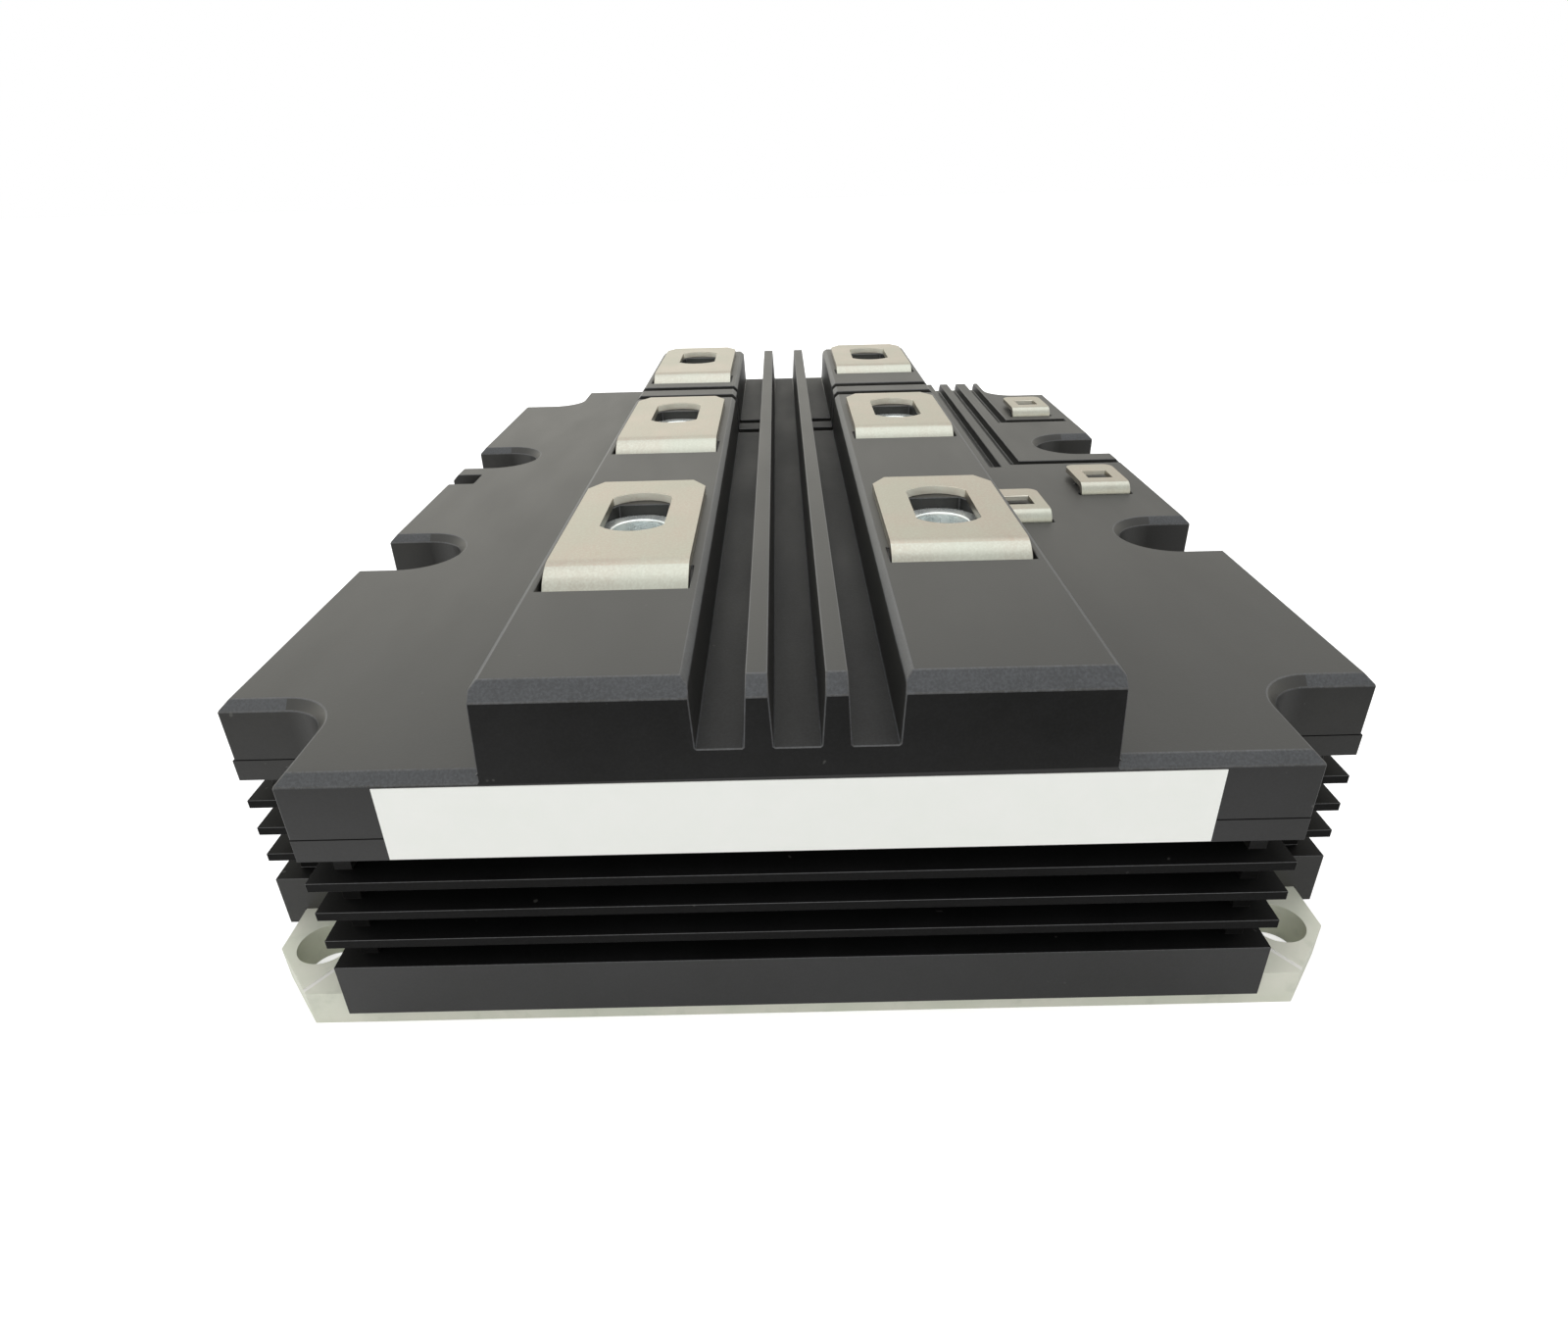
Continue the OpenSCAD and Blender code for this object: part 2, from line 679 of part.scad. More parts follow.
// ceramic tile with a full copper back and a patterned copper face: two chip
// pads and the collector strip joined at one end, the emitter strip between
// them and a small gate pad at the other end
module substrate(i) color([0.85, 0.60, 0.40]) translate(substrate_spots[i]) {
    w = substrate_w;
    l = substrate_l;
    low = copper_margin - l / 2;
    bridge = 2;
    pad_l = chip_pitch + chip_w / 2 + 0.5 - low;
    translate([0, 0, substrate_z + copper_t + ceramic_t / 2])
        cube([w, l, ceramic_t], center = true);
    translate([0, 0, substrate_z + copper_t / 2])
        cube([w - 2 * copper_margin, l - 2 * copper_margin, copper_t], center = true);
    translate([0, 0, substrate_z + copper_t + ceramic_t]) {
        for (s = [-1, 1]) translate([s * column_x - chip_pad_w / 2, low, 0])
            cube([chip_pad_w, pad_l, copper_t]);
        translate([-column_x, low, 0]) cube([2 * column_x, bridge, copper_t]);
        translate([foot_x - strip_w / 2, low, 0]) cube([strip_w, pad_l, copper_t]);
        translate([-foot_x - strip_w / 2, low + bridge + 1, 0])
            cube([strip_w, -2 * low - bridge - 1, copper_t]);
        translate([-gate_pad[0] - 2, gate_pad[1] - 0.8, 0]) cube([4, 1.6, copper_t]);
    }
}

module chips(spots) translate([0, 0, pad_z])
    for (c = substrate_spots, s = spots)
        translate([c[0] + s[0] * column_x - chip_w / 2, c[1] + s[1] * chip_pitch - chip_w / 2, 0])
            cube([chip_w, chip_w, chip_t]);

module igbt_chips() color([0.55, 0.58, 0.62])
    chips([[-1, -1], [-1, 0], [1, 0], [1, 1]]);
module diode_chips() color([0.62, 0.60, 0.55])
    chips([[-1, 1], [1, -1]]);

// auxiliary board, slotted for the six legs, with two tongues for the terminals
board_margin = 1;
module gate_board() color([0.15, 0.35, 0.20]) difference() {
    union() {
        translate([-core_w + board_margin, board_margin - gap_end_y, board_z])
            cube([2 * (core_w - board_margin), 2 * (gap_end_y - board_margin), board_t]);
        for (i = [1, 2]) translate([0, aux_leg_ys[i] - 3, board_z])
            cube([aux_xs[i] + aux_w / 2, 10, board_t]);
    }
    for (y = terminal_ys, s = [-1, 1])
        translate([s * terminal_x - terminal_w / 2 - leg_gap,
                   y - (s < 0 ? left_leg : right_leg) - leg_gap, board_z - over])
            cube([terminal_w + 2 * leg_gap, terminal_t + 2 * leg_gap, board_t + 2 * over]);
}

// gate and sense pins, two for each substrate
module gate_pins() color(tin)
    for (c = substrate_spots, x = [gate_pad[0], foot_x])
        translate([c[0] - x, c[1] + gate_pad[1], pad_z])
            cylinder(d = pin_d, h = board_z - pad_z);

// room that one foot and its solder take up in the gel, from inside the ceramic up
solder_w = 0.5;
module foot_room(x, way) {
    w = foot_w + 2 * solder_w;
    sink = copper_t + ceramic_t / 2;
    translate([x - w / 2, 0, pad_z - sink]) {
        cube([w, terminal_t, yoke_z]);
        translate([0, way > 0 ? 0 : terminal_t - foot_l, 0])
            cube([w, foot_l, sink + foot_bend]);
    }
}

module silicone_gel() color([0.75, 0.85, 0.90, 0.5]) difference() {
    translate([0, 0, plate_t]) linear_extrude(gel_h) hollow_2d();
    for (i = [0 : 5]) substrate(i);
    igbt_chips();
    diode_chips();
    gate_pins();
    for (y = terminal_ys, s = [-1, 1]) {
        translate([0, y - left_leg, 0])
            foot_room(s * substrate_pitch_x / 2 - foot_x, -1);
        translate([0, y - right_leg, 0])
            foot_room(s * substrate_pitch_x / 2 + foot_x, 1);
    }
}

module frame_adhesive() color([0.25, 0.25, 0.25]) bead(plate_t);
module lid_adhesive() color([0.25, 0.25, 0.25]) bead(seam_z - bead_h);

base_plate();
housing_frame();
housing_lid();
label();
emitter_terminal(0);  // emitter_terminal_1
emitter_terminal(1);  // emitter_terminal_2
emitter_terminal(2);  // emitter_terminal_3
collector_terminal(0);  // collector_terminal_1
collector_terminal(1);  // collector_terminal_2
collector_terminal(2);  // collector_terminal_3
aux_terminal(0);  // gate_terminal
aux_terminal(1);  // aux_emitter_terminal
aux_terminal(2);  // aux_collector_terminal
main_nuts();
aux_nuts();
substrate(0);  // substrate_1
substrate(1);  // substrate_2
substrate(2);  // substrate_3
substrate(3);  // substrate_4
substrate(4);  // substrate_5
substrate(5);  // substrate_6
igbt_chips();
diode_chips();
gate_board();
gate_pins();
silicone_gel();
frame_adhesive();
lid_adhesive();
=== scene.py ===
import json
import math
import bmesh
import bpy
from mathutils import Matrix, Vector

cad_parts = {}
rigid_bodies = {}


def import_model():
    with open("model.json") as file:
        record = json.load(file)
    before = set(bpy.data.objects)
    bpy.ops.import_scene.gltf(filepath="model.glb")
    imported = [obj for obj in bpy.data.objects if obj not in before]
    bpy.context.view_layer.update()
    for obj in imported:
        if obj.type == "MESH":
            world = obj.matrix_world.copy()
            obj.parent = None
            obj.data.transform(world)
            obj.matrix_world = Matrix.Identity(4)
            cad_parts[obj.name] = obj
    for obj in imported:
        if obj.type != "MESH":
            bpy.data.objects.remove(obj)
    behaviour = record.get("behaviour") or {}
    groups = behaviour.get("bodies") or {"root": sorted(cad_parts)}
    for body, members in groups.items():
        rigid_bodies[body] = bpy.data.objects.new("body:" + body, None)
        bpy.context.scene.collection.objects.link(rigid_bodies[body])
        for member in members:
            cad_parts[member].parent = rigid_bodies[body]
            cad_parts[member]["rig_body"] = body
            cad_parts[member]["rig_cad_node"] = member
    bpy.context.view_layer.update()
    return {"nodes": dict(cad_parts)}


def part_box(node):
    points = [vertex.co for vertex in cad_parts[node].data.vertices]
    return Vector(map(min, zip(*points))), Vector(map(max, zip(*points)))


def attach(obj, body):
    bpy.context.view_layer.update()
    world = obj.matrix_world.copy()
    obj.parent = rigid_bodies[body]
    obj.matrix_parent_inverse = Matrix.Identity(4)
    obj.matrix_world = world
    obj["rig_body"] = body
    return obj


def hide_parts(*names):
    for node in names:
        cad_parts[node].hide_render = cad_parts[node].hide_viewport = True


mm = 0.001
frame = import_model()
nodes = frame["nodes"]
scene = bpy.context.scene
print("frame loaded:", len(nodes), "nodes")


# camera
cameraSetup = {
    "place": (-0.92, -175.92, 93.1),        # mm, in the part's own frame
    "down": 28.43,                          # degrees
    "turn": -0.226,                         # degrees, to the right
    "roll": -1.443,                         # degrees
    "lens": 21.38,                          # mm
    "sensor": 36.0,                         # mm, its width
    "near": 0.01,                           # m, what is nearer or farther is cut off
    "far": 20,
}


def addCamera(setup):
    down, turn, roll = (math.radians(setup[key]) for key in ("down", "turn", "roll"))
    forward = Vector((math.sin(turn) * math.cos(down), math.cos(turn) * math.cos(down), -math.sin(down)))
    level = Vector((math.cos(turn), -math.sin(turn), 0))
    upward = level.cross(forward)
    right = math.cos(roll) * level + math.sin(roll) * upward
    top = -math.sin(roll) * level + math.cos(roll) * upward
    camera = bpy.data.objects.new("camera", bpy.data.cameras.new("camera"))
    scene.collection.objects.link(camera)
    camera.matrix_world = Matrix((right, top, -forward)).transposed().to_4x4()
    camera.location = [x * mm for x in setup["place"]]
    camera.data.lens = setup["lens"]
    camera.data.sensor_width = setup["sensor"]
    camera.data.clip_start = setup["near"]
    camera.data.clip_end = setup["far"]
    scene.camera = camera


addCamera(cameraSetup)
scene.view_settings.view_transform = "Standard"
print("camera placed")


# shader helpers
class Wire:                    # an output socket that can be used in sums
    def __init__(self, finish, socket):
        self.finish = finish
        self.socket = socket

    def output(self, name):    # another output of the same node
        return Wire(self.finish, self.socket.node.outputs[name])

    def math(self, operation, first, second):
        return self.finish.node("Math", {"operation": operation}, {0: first, 1: second})

    def __add__(self, other):
        return self.math("ADD", self, other)

    def __radd__(self, other):
        return self.math("ADD", other, self)

    def __sub__(self, other):
        return self.math("SUBTRACT", self, other)

    def __rsub__(self, other):
        return self.math("SUBTRACT", other, self)

    def __mul__(self, other):
        return self.math("MULTIPLY", self, other)

    def __rmul__(self, other):
        return self.math("MULTIPLY", other, self)

    def __gt__(self, other):
        return self.math("GREATER_THAN", self, other)

    def __lt__(self, other):
        return self.math("LESS_THAN", self, other)


class Finish:                  # a material or the world, and the one way to add a node to it
    def __init__(self, name, tree=None):
        if tree is None:
            self.material = bpy.data.materials.new(name)
            self.material.use_nodes = True
            tree = self.material.node_tree
        self.tree = tree
        self.tree.nodes.clear()
        self.place = None

    def node(self, kind, settings=None, sockets=None, out=0):
        made = self.tree.nodes.new("ShaderNode" + kind)
        for key, value in (settings or {}).items():
            setattr(made, key, value)
        for key, value in (sockets or {}).items():
            self.feed(made.inputs[key], value)
        return Wire(self, made.outputs[out]) if made.outputs else None

    def feed(self, socket, value):
        if isinstance(value, Wire):
            self.tree.links.new(value.socket, socket)
        else:
            socket.default_value = value

    def coordinates(self):
        if self.place is None:
            self.place = self.node("TexCoord", out="Object")
        return self.place

    def noise(self, size, detail, rough, stretch=(1, 1, 1)):            # size in mm
        place = self.node("Mapping", {}, {"Vector": self.coordinates(), "Scale": stretch})
        return self.node("TexNoise", {}, {"Vector": place, "Scale": 1 / (size * mm),
                                          "Detail": detail, "Roughness": rough})

    def ramp(self, value, low=0.3, high=0.7):           # a noise lies mostly between 0.3 and 0.7
        return self.node("MapRange", {"clamp": True}, {"Value": value, "From Min": low, "From Max": high})

    def mix(self, factor, first, second):               # 6, 7 and 2 are the colour sockets
        return self.node("Mix", {"data_type": "RGBA"}, {0: factor, 6: first, 7: second}, out=2)

    def bump(self, height, depth, below=None):          # depth in mm
        sockets = {"Height": height, "Distance": depth * mm, "Strength": 1.0}
        if below is not None:
            sockets["Normal"] = below
        return self.node("Bump", {}, sockets)

    def surface(self, sockets):
        shader = self.node("BsdfPrincipled", {}, sockets)
        self.node("OutputMaterial", {}, {"Surface": shader})
        return self.material


def grey(level):
    return (level, level, level, 1)


def between(low, high, share):
    return low + (high - low) * share


def blend(first, second, share):          # share is how much of the second
    return (1 - share) * first + share * second


# finishes
# a noise is its size in mm, detail, roughness and stretch, and a span is where it starts and is full
plasticFinish = {
    "dark": (0.0145, 0.0145, 0.0142, 1),
    "pale": (0.0215, 0.0212, 0.0190, 1),
    "cloud": (26, 4, 0.6),
    "flow": (7, 3, 0.5, (1, 0.25, 1)),
    "flowShare": 0.4,
    "toneSpan": (0.38, 0.62),
    "rough": (0.41, 0.46),
    "index": 1.6,
    "grain": (0.30, 2, 0.6),   # the moulded grain, and a finer one over it
    "grainDepth": 0.009,
    "fine": (0.09, 1, 0.5),
    "fineDepth": 0.00225,
    "scuff": (0.115, 0.124, 0.138, 1),
    "scuffShare": 0.04,
    "scuffRough": 0.1,
    "wear": (2.2, 3, 0.65),
    "wearShare": 0.2,
    "wearSpan": (0.40, 0.70),
    "dust": (0.17, 0.17, 0.16, 1),
    "dustShare": 0.35,
    "dustRough": 0.2,
    "speck": (1.5, 1, 0.4),
    "speckSpan": (0.79, 0.82),
}


def plastic(name, setup=plasticFinish):
    finish = Finish(name)
    flow = finish.noise(*setup["flow"])
    tone = finish.ramp(blend(finish.noise(*setup["cloud"]), flow, setup["flowShare"]), *setup["toneSpan"])
    grain = finish.noise(*setup["grain"])
    wear = finish.ramp(blend(grain, finish.noise(*setup["wear"]), setup["wearShare"]), *setup["wearSpan"])
    scuffed = wear * setup["scuffShare"]
    speck = finish.ramp(finish.noise(*setup["speck"]), *setup["speckSpan"])
    colour = finish.mix(tone, setup["dark"], setup["pale"])
    colour = finish.mix(scuffed, colour, setup["scuff"])
    colour = finish.mix(speck * setup["dustShare"], colour, setup["dust"])
    rough = between(*setup["rough"], finish.ramp(flow))
    rough = rough + setup["dustRough"] * speck + setup["scuffRough"] * scuffed
    normal = finish.bump(grain, setup["grainDepth"])
    normal = finish.bump(finish.noise(*setup["fine"]), setup["fineDepth"], normal)
    return finish.surface({"Base Color": colour, "Roughness": rough, "Normal": normal,
                           "IOR": setup["index"]})


tinFinish = {
    "metal": (0.450, 0.430, 0.365, 1),
    "warm": (0.450, 0.392, 0.335, 1),
    "cool": (0.50, 0.512, 0.44, 1),
    "stain": (0.40, 0.31, 0.20, 1),
    "metallic": 1.0,
    "wide": (9, 3, 0.55),      # broad change between warm and plain
    "wideSpan": (0.36, 0.64),
    "drawn": (1.1, 3, 0.6, (1, 0.12, 0.12)),
    "speckle": (0.35, 2, 0.6),
    "speckleShare": 0.7,
    "skinSpan": (0.42, 0.70),
    "coolShare": 0.7,
    "skinDepth": 0.004,
    "stains": (4.3, 4, 0.7),
    "stainSpan": (0.63, 0.80),
    "stainShare": 0.30,
    "pits": (0.8, 2, 0.5),
    "pitSpan": (0.70, 0.78),
    "pitShare": 0.25,
    "pitDepth": 0.012,
    "rough": (0.30, 0.44),
    "roughDrawn": 0.4,         # how much the drawn lines roughen it
    "roughSpan": (0.4, 0.95),
}


def tin(name, setup=tinFinish):
    finish = Finish(name)
    wide = finish.noise(*setup["wide"])
    drawn = finish.noise(*setup["drawn"])
    skin = blend(drawn, finish.noise(*setup["speckle"]), setup["speckleShare"])
    stains = finish.ramp(finish.noise(*setup["stains"]), *setup["stainSpan"])
    pits = finish.ramp(finish.noise(*setup["pits"]), *setup["pitSpan"])
    colour = finish.mix(finish.ramp(wide, *setup["wideSpan"]), setup["warm"], setup["metal"])
    colour = finish.mix(finish.ramp(skin, *setup["skinSpan"]) * setup["coolShare"], colour, setup["cool"])
    marks = stains * setup["stainShare"] + pits * setup["pitShare"]
    colour = finish.mix(marks, colour, setup["stain"])
    worn = finish.ramp(wide + setup["roughDrawn"] * drawn, *setup["roughSpan"])
    normal = finish.bump(skin, setup["skinDepth"])
    normal = finish.bump(1 - pits, setup["pitDepth"], normal)
    return finish.surface({"Base Color": colour, "Roughness": between(*setup["rough"], worn),
                           "Normal": normal, "Metallic": setup["metallic"]})


zincFinish = {
    "metal": (0.86, 0.92, 0.93, 1),
    "pale": (0.96, 1.0, 0.99, 1),
    "metallic": 0.75,
    "cloud": (3.2, 3, 0.6),
    "cloudSpan": (0.35, 0.65),
    "rough": (0.18, 0.36),
    "fine": (0.35, 2, 0.6),
    "fineDepth": 0.0015,
}


def zinc(name, setup=zincFinish):
    finish = Finish(name)
    cloud = finish.noise(*setup["cloud"])
    fine = finish.noise(*setup["fine"])
    colour = finish.mix(finish.ramp(cloud, *setup["cloudSpan"]), setup["metal"], setup["pale"])
    rough = between(*setup["rough"], finish.ramp(cloud))
    return finish.surface({"Base Color": colour, "Roughness": rough, "Metallic": setup["metallic"],
                           "Normal": finish.bump(fine, setup["fineDepth"])})


plateFinish = {
    "metal": (0.76, 0.785, 0.67, 1),
    "warm": (0.83, 0.83, 0.73, 1),
    "shade": (0.60, 0.63, 0.53, 1),
    "metallic": 0.2,
    "cloud": (8, 4, 0.6),
    "cloudSpan": (0.35, 0.65),
    "patch": (3.0, 3, 0.6),
    "patchSpan": (0.55, 0.75),
    "patchShare": 0.5,
    "lap": (0.5, 2, 0.6, (1, 0.08, 1)),
    "lapDepth": 0.006,
    "rough": (0.38, 0.54),
}


def nickel(name, setup=plateFinish):
    finish = Finish(name)
    cloud = finish.ramp(finish.noise(*setup["cloud"]), *setup["cloudSpan"])
    patch = finish.ramp(finish.noise(*setup["patch"]), *setup["patchSpan"])
    lap = finish.noise(*setup["lap"])
    colour = finish.mix(cloud, setup["metal"], setup["warm"])
    colour = finish.mix(patch * setup["patchShare"], colour, setup["shade"])
    rough = between(*setup["rough"], finish.ramp(lap))
    return finish.surface({"Base Color": colour, "Roughness": rough, "Metallic": setup["metallic"],
                           "Normal": finish.bump(lap, setup["lapDepth"])})


paperFinish = {
    "dark": (0.955, 0.975, 0.93, 1),
    "pale": (0.985, 0.995, 0.96, 1),
    "cloud": (5, 3, 0.6),
    "fibre": (0.22, 3, 0.6, (0.3, 1, 1)),
    "fibreDepth": 0.004,
    "rough": (0.50, 0.62),
}


def paper(name, setup=paperFinish):
    finish = Finish(name)
    cloud = finish.noise(*setup["cloud"])
    fibre = finish.noise(*setup["fibre"])
    colour = finish.mix(finish.ramp(cloud), setup["dark"], setup["pale"])
    rough = between(*setup["rough"], finish.ramp(fibre))
    return finish.surface({"Base Color": colour, "Roughness": rough,
                           "Normal": finish.bump(fibre, setup["fibreDepth"])})


def tinted(name, dark, pale, bluer=1.04, **others):     # the same plastic in another tone, for the copies with painted light and shade
    return plastic(name, {**plasticFinish, "dark": grey(dark), "pale": (pale, pale, pale * bluer, 1),
                          **others})


blackPlastic = plastic("mouldedBlack")
# paler, bluer copy for the moulded bevels: painted sheen, with real scuffs over it
bevelSheenAndWearPlastic = plastic("mouldedBlackRim", {**plasticFinish, "dark": (0.034, 0.037, 0.042, 1),
                                            "pale": (0.046, 0.049, 0.055, 1), "scuffShare": 0.40})
# paler copy for the rounded edges: painted highlight along them, with real scuffs
edgeHighlightAndWearPlastic = tinted("mouldedBlackEdge", dark=0.035, pale=0.075, scuffShare=0.6)
# duller copy for the channel floors: painted shade in the recesses
channelShadePlastic = tinted("mouldedBlackChannel", dark=0.016, pale=0.023, scuffShare=0.1,
                        index=1.38, rough=(0.5, 0.62))
# near-black copy: painted shade on the fins, the parting line and the set-back edges
shadedPlastic = tinted("mouldedBlackFin", dark=0.004, pale=0.006, scuffShare=0.02,
                       index=1.25, rough=(0.55, 0.65))
# darker copy for the blocks' front faces: painted shade
blockShadePlastic = tinted("mouldedBlackBlock", dark=0.006, pale=0.010, scuffShare=0.03, index=1.40)
# paler copies for the front faces: painted light
frontPaintedLightPlastic = tinted("mouldedBlackFront", dark=0.021, pale=0.027)
flangePaintedLightPlastic = tinted("mouldedBlackFlange", dark=0.021, pale=0.027)
tinned = tin("satinTin")
# paler, cooler copy for the bends: painted highlight
bentTin = tin("bentTin", {**tinFinish, "metal": (0.50, 0.515, 0.455, 1), "warm": (0.47, 0.455, 0.40, 1),
                          "cool": (0.58, 0.60, 0.54, 1)})
# pale cream copy for the slot's cut wall: painted highlight
slotWallHighlight = tin("shearedTin", {**tinFinish, "metal": (0.86, 0.84, 0.74, 1), "warm": (0.86, 0.80, 0.68, 1),
                             "cool": (0.88, 0.88, 0.78, 1), "metallic": 0.3})
zincPlated = zinc("zincPlated")
nickelPlate = nickel("nickelPlate")
# paler copy for the scored lines: painted highlight
scoreHighlightNickel = nickel("scoredNickel", {**plateFinish, "metal": (0.90, 0.90, 0.86, 1),
                                       "warm": (0.95, 0.94, 0.90, 1), "shade": (0.84, 0.84, 0.80, 1)})
labelPaper = paper("bareLabel")
print("finishes made")


# modelling helpers
meshSetup = {
    "merge": 0.002,            # mm, corners nearer than this become one
    "flat": 0.6,               # degrees, faces that differ less are joined
    "round": 28,               # degrees, sharper edges are rounded
    "crisp": 34,               # degrees, sharper edges stay crisp in the shading
    "weight": 80,              # how much the large faces lead the shading
}


def deselectAll():
    if bpy.context.object and bpy.context.object.mode != "OBJECT":
        bpy.ops.object.mode_set(mode="OBJECT")
    bpy.ops.object.select_all(action="DESELECT")


def makeActive(piece):
    deselectAll()
    piece.select_set(True)
    bpy.context.view_layer.objects.active = piece


def selectFaces(piece, test):             # run in edit mode; test takes a bmesh face
    bpy.ops.mesh.select_mode(type="FACE")
    bpy.ops.mesh.select_all(action="DESELECT")
    mesh = bmesh.from_edit_mesh(piece.data)
    for face in [face for face in mesh.faces if test(face)]:
        face.select_set(True)
    bmesh.update_edit_mesh(piece.data)


def selectCorners(piece, test):           # run in edit mode; test takes a corner's place
    bpy.ops.mesh.select_all(action="DESELECT")
    mesh = bmesh.from_edit_mesh(piece.data)
    for vertex in mesh.verts:
        if test(vertex.co):
            vertex.select_set(True)
    mesh.select_flush(True)


def copyOfNode(name, pieceName):          # merged and with its flat faces joined
    piece = nodes[name].copy()
    piece.data = nodes[name].data.copy()
    piece.name = pieceName
    piece.data.name = pieceName
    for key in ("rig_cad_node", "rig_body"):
        if key in piece:
            del piece[key]
    piece.parent = None
    scene.collection.objects.link(piece)
    makeActive(piece)
    bpy.ops.mesh.customdata_custom_splitnormals_clear()
    bpy.ops.object.mode_set(mode="EDIT")
    bpy.ops.mesh.select_all(action="SELECT")
    bpy.ops.mesh.remove_doubles(threshold=meshSetup["merge"] * mm)
    bpy.ops.mesh.dissolve_limited(angle_limit=math.radians(meshSetup["flat"]), delimit={"NORMAL"})
    bpy.ops.mesh.select_all(action="DESELECT")
    bpy.ops.object.mode_set(mode="OBJECT")
    return piece


def setFinish(piece, *finishes):          # the first one goes on every face
    piece.data.materials.clear()
    for finish in finishes:
        piece.data.materials.append(finish)
    for face in piece.data.polygons:
        face.material_index = 0


def finishIndex(piece, finish):
    return piece.data.materials.find(finish.name)


def paint(piece, finish, test):           # one of the piece's finishes, on the faces that pass the test
    index = finishIndex(piece, finish)
    for face in piece.data.polygons:
        if test(face):
            face.material_index = index


def roundEdges(piece, setup, edgeFinish=None, clamp=True):
    makeActive(piece)
    bevel = piece.modifiers.new("edges", "BEVEL")
    bevel.width = setup["edge"] * mm
    bevel.segments = setup["segments"]
    bevel.limit_method = "ANGLE"
    bevel.angle_limit = math.radians(meshSetup["round"])
    bevel.use_clamp_overlap = clamp
    bevel.miter_outer = "MITER_ARC"
    bevel.material = finishIndex(piece, edgeFinish) if edgeFinish else -1
    bpy.ops.object.modifier_apply(modifier=bevel.name)
    smooth(piece)


def smooth(piece):                        # flat faces stay flat beside rounded edges
    makeActive(piece)
    bpy.ops.object.shade_smooth_by_angle(angle=math.radians(meshSetup["crisp"]))
    weigh = piece.modifiers.new("weigh", "WEIGHTED_NORMAL")
    weigh.keep_sharp = True
    weigh.weight = meshSetup["weight"]
    bpy.ops.object.modifier_apply(modifier=weigh.name)


def seat(piece, slotName, *replaced):
    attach(piece, "root")
    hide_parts(*replaced)


# housing, all sizes in mm
housingSetup = {
    "front": 90,               # faces that look forward beyond it are front faces
    "frontLean": 0.95,
    "seam": 29.4,              # height of the parting line, and how far its faces lie from it
    "seamReach": 0.24,
}
lidSetup = {
    "edge": 0.13,
    "segments": 1,
    "deckTop": 36.4,           # under the deck's moulded bevel
    "channelTop": 40.1,
    "channelReach": 0.3,
    "channelsTo": 15,          # the three channels lie nearer the middle than this
    "bevelLean": (0.55, 0.85),
    "bevelArea": 2,            # square mm, smaller sloping faces aren't moulded bevels
}
frameSetup = {
    "edge": 0.16,
    "segments": 1,
    "fins": (9.5, 24.5),       # heights between which the fins lie
    "backFrom": (60, 94.3),    # edges nearer the middle than this lie back from the faces and get painted shade
}


def near(place, goal, reach):
    return abs(place - goal * mm) < reach * mm


def isFront(normal, centre):
    return normal.y < -housingSetup["frontLean"] and centre.y < -housingSetup["front"] * mm


def isMouldedBevel(face):
    low, high = lidSetup["bevelLean"]
    return low < face.normal.z < high and face.area > lidSetup["bevelArea"] * mm * mm


def isChannelFloor(face):
    level = near(face.center.z, lidSetup["channelTop"], lidSetup["channelReach"])
    return level and abs(face.center.x) < lidSetup["channelsTo"] * mm


def isFin(face):
    low, high = frameSetup["fins"]
    return low * mm < face.center.z < high * mm


def isBackEdge(face):
    acrossLimit, alongLimit = frameSetup["backFrom"]
    inside = abs(face.center.x) < acrossLimit * mm and abs(face.center.y) < alongLimit * mm
    return inside and face.material_index == finishIndex(frameShell, edgeHighlightAndWearPlastic)


def darkenSeam(piece):                    # the parting line reads as a shadow
    paint(piece, shadedPlastic,
          lambda face: near(face.center.z, housingSetup["seam"], housingSetup["seamReach"]))


lidShell = copyOfNode("housing_lid", "lidShell")
deckTop = lidSetup["deckTop"] * mm
bpy.ops.object.mode_set(mode="EDIT")      # part the front face below the deck's bevel
selectFaces(lidShell, lambda face: isFront(face.normal, face.calc_center_median()))
bpy.ops.mesh.bisect(plane_co=(0, 0, deckTop), plane_no=(0, 0, 1))
bpy.ops.mesh.select_mode(type="VERT")
bpy.ops.object.mode_set(mode="OBJECT")
setFinish(lidShell, blackPlastic, bevelSheenAndWearPlastic, edgeHighlightAndWearPlastic, channelShadePlastic, shadedPlastic, blockShadePlastic,
          frontPaintedLightPlastic)
# painted sheen and scuffs on the moulded bevels
paint(lidShell, bevelSheenAndWearPlastic, isMouldedBevel)
# painted shade on the channel floors
paint(lidShell, channelShadePlastic, isChannelFloor)
# painted light on the front faces below the deck
paint(lidShell, frontPaintedLightPlastic, lambda face: isFront(face.normal, face.center))
# painted shade on the blocks' front faces above the deck
paint(lidShell, blockShadePlastic, lambda face: isFront(face.normal, face.center) and face.center.z > deckTop)
# the rounded edges get the painted edge highlight
roundEdges(lidShell, lidSetup, edgeHighlightAndWearPlastic, clamp=False)
darkenSeam(lidShell)
seat(lidShell, "housing", "housing_lid")
print("lid finished")

frameShell = copyOfNode("housing_frame", "frameShell")
setFinish(frameShell, blackPlastic, edgeHighlightAndWearPlastic, shadedPlastic, flangePaintedLightPlastic)
# painted light on the frame's front faces
paint(frameShell, flangePaintedLightPlastic, lambda face: isFront(face.normal, face.center))
# painted shade on the fins
paint(frameShell, shadedPlastic, isFin)
# the rounded edges get the painted edge highlight
roundEdges(frameShell, frameSetup, edgeHighlightAndWearPlastic)
darkenSeam(frameShell)
# painted shade on the set-back edges
paint(frameShell, shadedPlastic, isBackEdge)
seat(frameShell, "housing", "housing_frame")
print("frame finished")


